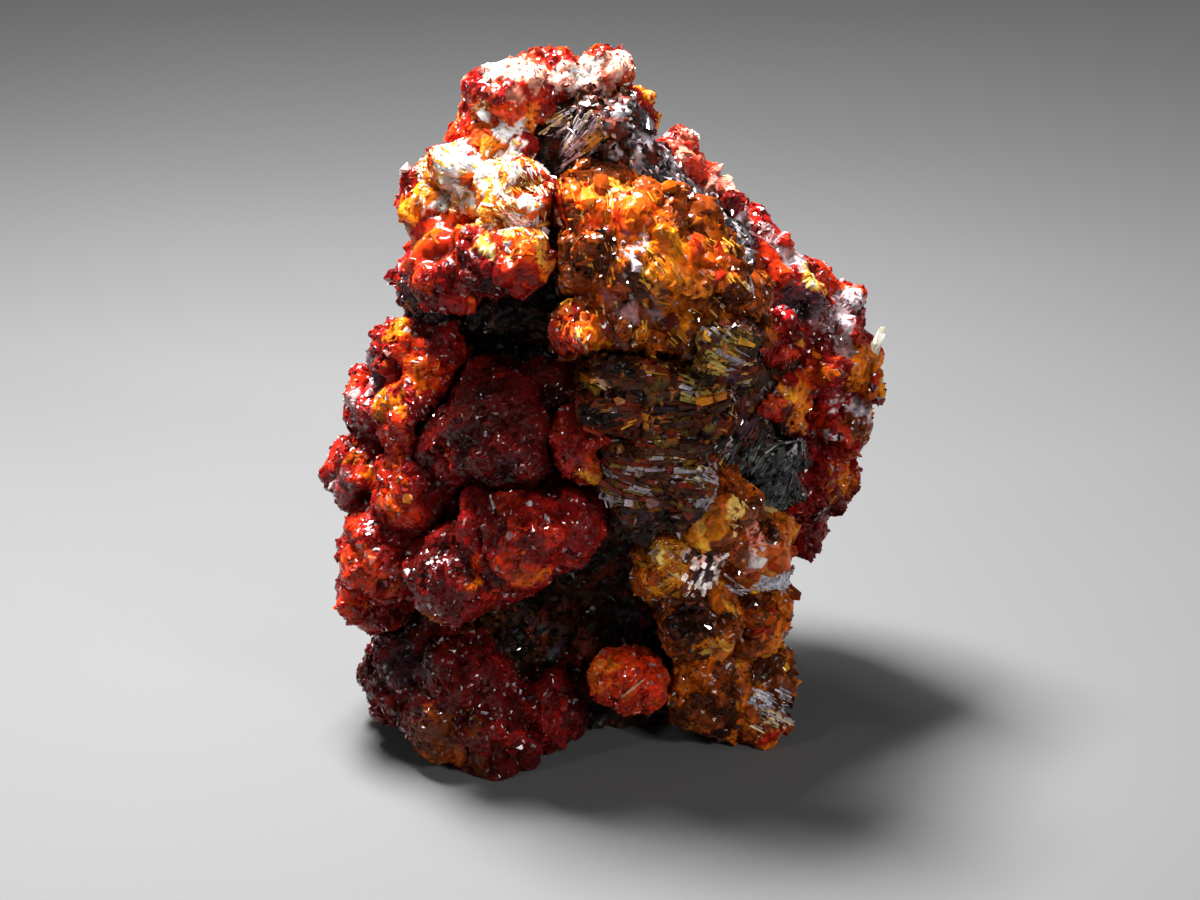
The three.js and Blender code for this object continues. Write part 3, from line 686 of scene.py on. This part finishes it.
# The left side: a crimson lobe of zincite that overhangs the foot, and a rim of small lumps grown
# up the edge of the rock above it, golden where they are thin, with painted lilac highlights where
# they catch the light.
crust(
    "left_flank_crust", "zincite_left_flank", seed=36, depths=RED, thinness=0.6,
    stray=0.11,
    spots=[
        ((-17.4, -4.8, 36.2), 1.4, HONEYED, 0.74), ((-15.2, -7.0, 33.4), 2.2, RED, 0.74),
        ((-18.0, -6.6, 32.8), 1.1, HONEYED, 0.64), ((-19.6, -3.4, 33.0), 2.0, PLUMMY, 0.6),
        ((-20.8, -4.4, 29.2), 1.7, PAINTED_LILAC_HIGHLIGHT, 0.66), ((-18.2, -7.4, 30.4), 1.2, HONEYED, 0.7),
        ((-20.8, -6.0, 25.8), 1.7, HONEYED, 0.64), ((-17.7, -9.4, 24.6), 2.4, RED, 0.76),
        ((-21.9, -5.4, 22.4), 1.5, PAINTED_LILAC_HIGHLIGHT, 0.6), ((-22.6, -6.0, 19.4), 1.6, HONEYED, 0.7),
        ((-20.4, -9.0, 15.4), 3.2, RED, 0.71),
    ],
    grains=((0.6, 0.8), (1.2, 0.25)), glints=0.28, sheen_share=0.3,
)


# The foot at the lower left: dark, coarse zincite that grew round the bottom of the rock, plum
# coloured at its left and brown along its front edge, where it is thin.
crust(
    "left_foot_crust", "zincite_left_foot", seed=37, depths=RED, thinness=0.41,
    stray=0.12,
    spots=[
        ((-13.5, -13.5, 2.8), 3.4, HONEYED, 0.46), ((-5.0, -11.0, 4.0), 3.0, RED, 0.5),
        ((-16.6, -9.0, 8.0), 3.2, PLUMMY, 0.32),
    ],
    grains=((0.6, 0.8), (1.2, 0.25)),
)


# The small bright nodule at the mouth of the lower hollow: one round group of orange-red zincite
# on the rock, with a single pale needle of crystal grown across its front.
nodule_points, _, _ = crust(
    "cave_nodule_crust", "zincite_cave_nodule", seed=38, depths=RED, thinness=0.73,
    stray=0.09, spots=[((0.4, -14.9, 9.4), 2.4, RED, 0.83)], grains=((0.55, 0.5),), knob=1.6,
    height=0.5,
)
NEEDLE_SIZE, NEEDLE_WAY = (0.42, 0.36, 3.2), (0.62, -0.2, 0.76)
needle_random = np.random.default_rng(64)
nearest = np.linalg.norm(nodule_points - (2.4, -15.6, 8.8), axis=1).argmin()
needle_at = nodule_points[[nearest]] + (0, -0.6, 0.2)  # out to the tops of the grains
needle_points, needle_corners, _ = set_in(
    [hull(needle_random.uniform(-0.5, 0.5, (12, 3)))], needle_at, unit(np.array([NEEDLE_WAY])),
    np.array([NEEDLE_SIZE]), needle_random, lean=0,
)
needle_tones = np.tile(CREAM, (len(needle_points), 1))
pale_needle = piece_from(
    "pale_needle", [(needle_points, needle_corners, needle_tones, 0, False)], [silky]
)
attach(pale_needle, "root")


# The amber mass at the lower right and the foot under it: honey and brown zincite on the side of
# the rock, with two clear crystals, a silver band that runs across it, and blocks in the dark
# between them painted pinkish white: a painted highlight for the glints there.
CLEAR_SCARLET = (1.0, 0.09, 0.003)
base_skin = crust(
    "right_base_crust", "zincite_right_base", seed=39, depths=HONEYED, thinness=0.58,
    stray=0.26,
    spots=[
        ((8.6, -13.5, 22.4), 2.8, HONEYED, 0.85), ((5.4, -14.6, 19.6), 2.0, HONEYED, 0.78),
        ((8.6, -13.4, 18.4), 1.8, PLUMMY, 0.4), ((6.6, -14.4, 17.0), 1.3, HONEYED, 0.4),
        ((14.3, -10.4, 17.4), 2.4, RED, 0.84), ((12.0, -11.0, 19.4), 1.8, ROSY_TO_PAINTED_HIGHLIGHT, 0.42),
        ((7.3, -14.0, 13.6), 2.8, HONEYED, 0.4), ((13.6, -9.8, 13.0), 1.2, RED, 0.83),
        ((10.4, -12.0, 13.4), 1.3, HONEYED, 0.8), ((9.0, -12.6, 8.0), 2.2, PLUMMY, 0.5),
        ((9.3, -10.8, 5.0), 2.4, HONEYED, 0.52), ((14.1, -8.8, 1.4), 1.6, RED, 0.76),
        ((9.0, -12.0, 1.6), 1.4, RED, 0.66),
    ],
    grains=((0.6, 0.4), (1.2, 0.35), (1.7, 0.18)), facet=1.4, height=0.5, flatness=0.45,
    glints=0.45, sheen_share=0.15,
    smooth=[((8.7, -13.6, 22.6), 1.4), ((14.3, -10.4, 17.4), 1.8), ((8.4, -13.6, 18.4), 1.9)],
    lumps=[((14.3, -10.4, 17.4), 1.7, CLEAR_SCARLET), ((8.7, -13.6, 22.6), 1.5, CLEAR_ORANGE)],
)
SILVER_BANDS = [(2, (0.6, 0.58, 0.64)), (1, (0.3, 0.27, 0.3)), (1, CREAM), (0.6, UMBER)]
# Pinkish-white blocks: painted highlight, glints where the light strikes.
PINK_HIGHLIGHT_BLOCKS = [(4, (1.0, 0.86, 0.8)), (1, (0.9, 0.5, 0.4)), (1, UMBER)]
band_random = np.random.default_rng(63)
BASE_BANDS = [
    ((13.0, -11.0, 15.8), (2.4, 4.0, 0.6), (0.95, 0.1, -0.25), SILVER_BANDS, 0.12, (6, 18), 0.8),
    ((5.4, -14.0, 18.8), (1.5, 4.0, 2.2), (0.6, -0.3, 0.75), VEIN_BANDS, 0.12, (4, 12), 0.16),
    ((8.2, -13.4, 18.4), (1.7, 4.0, 1.7), (0.5, -0.3, 0.7), PINK_HIGHLIGHT_BLOCKS, 0.42, (0.7, 1.8), 0.42),
    ((14.0, -8.6, 3.4), (1.5, 4.0, 1.1), (0.8, 0.1, -0.6), SILVER_BANDS, 0.13, (4, 14), 0.6),
]
base_bands = piece_from(
    "base_bands", [laths_on(base_skin, *band, band_random) for band in BASE_BANDS], [silky]
)
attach(base_bands, "root")


# The mass at the right, further back: red zincite on the side of the rock, with a painted pale
# lilac sheen where it faces up and painted lilac glints, two clear crystals, and the paler lumps
# that show behind the top slope, pink with painted highlight.
CLEAR_CRIMSON = (1.0, 0.04, 0.003)
crust(
    "right_wing_crust", "zincite_right_wing", seed=40, depths=RED, thinness=0.58,
    stray=0.15,
    spots=[
        ((13.0, 3.0, 42.6), 2.4, PAINTED_LILAC_HIGHLIGHT, 0.62), ((13.2, -0.7, 40.0), 2.4, RED, 0.76),
        ((16.2, 1.4, 40.2), 1.6, PAINTED_LILAC_HIGHLIGHT, 0.6), ((17.4, 2.0, 38.8), 1.5, HONEYED, 0.86),
        ((20.0, 3.4, 35.9), 1.5, PAINTED_LILAC_HIGHLIGHT, 0.53), ((19.4, 1.2, 34.0), 1.9, PAINTED_LILAC_HIGHLIGHT, 0.62),
        ((15.6, -0.8, 36.8), 2.2, PLUMMY, 0.45), ((17.4, -2.4, 31.2), 2.8, RED, 0.78),
        ((22.3, 2.8, 30.1), 2.2, HONEYED, 0.74), ((16.4, -1.8, 28.6), 2.0, HONEYED, 0.62),
        # the dark spot at (14.4, -1.8, 27.0) is painted shadow
        ((14.4, -1.8, 27.0), 1.8, RED, 0.36), ((22.1, 2.8, 26.4), 1.6, PAINTED_LILAC_HIGHLIGHT, 0.54),
        ((22.1, 2.8, 23.6), 1.8, HONEYED, 0.66), ((18.5, 1.4, 24.0), 1.1, PAINTED_LILAC_HIGHLIGHT, 0.6),
        ((20.3, 1.7, 20.2), 2.2, HONEYED, 0.64), ((18.6, 3.0, 15.7), 2.4, RED, 0.5),
        ((7.4, 2.4, 48.2), 3.4, ROSY_TO_PAINTED_HIGHLIGHT, 0.5), ((10.0, 3.0, 46.2), 2.6, ROSY_TO_PAINTED_HIGHLIGHT, 0.56),
    ],
    grains=((0.65, 0.5), (1.2, 0.4)), facet=1.4, glints=0.2, sheen_share=0.4,
    smooth=[((13.8, -0.9, 40.0), 2.4), ((17.8, -2.4, 31.0), 1.5)],
    lumps=[((13.8, -0.9, 40.0), 2.3, CLEAR_CRIMSON), ((18.0, -2.4, 31.0), 1.5, CLEAR_ORANGE)],
)


# The groups on the back: the same growth as in front, a column of red lumps at the left side and
# an amber foot at the right, with the bare rock between them.
BACK_GRAINS = ((0.75, 0.7), (1.4, 0.4))
crust(
    "back_left_crust", "zincite_back_left", seed=41, depths=RED, thinness=0.5,
    stray=0.14, grains=BACK_GRAINS, facet=1.5,
)
crust(
    "back_foot_crust", "zincite_back_foot", seed=42, depths=HONEYED, thinness=0.5,
    stray=0.16, grains=BACK_GRAINS, facet=1.5,
)


# The pale splinter on the right rim: a clear sliver of cream-white crystal. Its foot reaches into
# the crust that it grew from, and it narrows to its tip.
SPLINTER_CREAM = (0.98, 0.93, 0.78)
ROOT = np.array((-3.0, 1.4, -2.6))  # how far its foot reaches
splinter_low, splinter_high = (np.array(corner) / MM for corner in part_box("pale_splinter"))
splinter_random = np.random.default_rng(43)
sliver = hull(splinter_random.uniform(0, 1, (16, 3)))
slender = sliver[0] - [0.5, 0.5, 0]
slender[:, :2] *= 1.1 - 0.8 * slender[:, 2:] ** 2
sliver_points = splinter_low + (slender + [0.5, 0.5, 0]) * (splinter_high - splinter_low)
sliver_points += ROOT * np.clip(0.5 - slender[:, 2:], 0, 1)
sliver_tones = np.tile(SPLINTER_CREAM, (len(sliver_points), 1))
cream_crystal = zincite_finish(
    "cream crystal", clearness=0.3, glow=0.4, roughness=(0.05, 0.2), sparkle=0.1, index=1.6,
    gleam=0.5, cell=0.8,
)
splinter = piece_from(
    "pale_splinter_crystal", [(sliver_points, sliver[1], sliver_tones, 0, False)], [cream_crystal]
)
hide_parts("pale_splinter")
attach(splinter, "root")


# The floor, which isn't part of the specimen: a plain pale sheet of matt card with a faint mottle,
# wide enough to fill the view.
FLOOR = 3.0  # metres from the middle to each edge
CARD_DARK, CARD_PALE = 0.13, 0.15
card = bpy.data.materials.new("pale card")
card.use_nodes = True
card_nodes, card_links = card.node_tree.nodes, card.node_tree.links
card_shader = card_nodes["Principled BSDF"]
card_grain = card_nodes.new("ShaderNodeTexNoise")
card_grain.inputs["Scale"].default_value = 60
card_tone = card_nodes.new("ShaderNodeMapRange")
card_tone.inputs["To Min"].default_value = CARD_DARK
card_tone.inputs["To Max"].default_value = CARD_PALE
card_links.new(card_grain.outputs["Fac"], card_tone.inputs["Value"])
card_links.new(card_tone.outputs["Result"], card_shader.inputs["Base Color"])
card_shader.inputs["Roughness"].default_value = 0.8
card_shader.inputs["Specular IOR Level"].default_value = 0.2
floor_mesh = bpy.data.meshes.new("floor")
floor_corners = [(-FLOOR, -FLOOR, 0), (FLOOR, -FLOOR, 0), (FLOOR, FLOOR, 0), (-FLOOR, FLOOR, 0)]
floor_mesh.from_pydata(floor_corners, [], [(0, 1, 2, 3)])
floor_mesh.materials.append(card)
floor = bpy.data.objects.new("floor", floor_mesh)
bpy.context.scene.collection.objects.link(floor)


# Light: a small soft box close above and a large one high up and behind, for the bright top and the
# shadow in front, three weak ones at the left, the right and in front, and a dim room.
def soft_box(name, place, size, power):
    light = bpy.data.lights.new(name, "AREA")
    light.size = size
    light.energy = power
    lamp = bpy.data.objects.new(name, light)
    lamp.location = place
    towards = Vector((0, 0, 0.03)) - Vector(place)  # the middle of the specimen
    lamp.rotation_euler = towards.to_track_quat("-Z", "Y").to_euler()
    bpy.context.scene.collection.objects.link(lamp)


LAMPS = [  # place and width in metres, power in watts
    ("soft box above", (-0.05, 0.04, 0.2), 0.06, 1.9),
    ("soft box high", (-0.45, 0.75, 1.7), 0.6, 9.0),
    ("soft box left", (-0.80, -0.50, 0.60), 0.12, 1.3),
    ("soft box right", (0.5, -0.52, 0.4), 0.06, 1.5),
    ("soft box front", (0.66, -0.92, 0.7), 0.18, 3.0),
]
for lamp_values in LAMPS:
    soft_box(*lamp_values)
room = bpy.data.worlds.new("room")
room.use_nodes = True
room.node_tree.nodes["Background"].inputs["Color"].default_value = (0.9, 0.95, 1.0, 1)
room.node_tree.nodes["Background"].inputs["Strength"].default_value = 0.07
bpy.context.scene.world = room
bpy.context.scene.view_settings.view_transform = "Standard"


# Camera: straight on to the front face and 22 degrees above the horizon, with a long lens, at the
# distance from which the specimen fills the view as it does in the photograph.
AIM = Vector((-0.41, -1.82, 24.3)) * MM
DISTANCE = 240 * MM
ELEVATION = math.radians(22)
FOCAL_LENGTH, SENSOR_WIDTH = 85, 36  # millimetres, as a camera's own values
lens = bpy.data.cameras.new("camera")
lens.lens = FOCAL_LENGTH
lens.sensor_width = SENSOR_WIDTH
camera = bpy.data.objects.new("camera", lens)
back = Vector((0, -math.cos(ELEVATION), math.sin(ELEVATION)))
camera.location = AIM + back * DISTANCE
camera.rotation_euler = (-back).to_track_quat("-Z", "Y").to_euler()
bpy.context.scene.collection.objects.link(camera)
bpy.context.scene.camera = camera
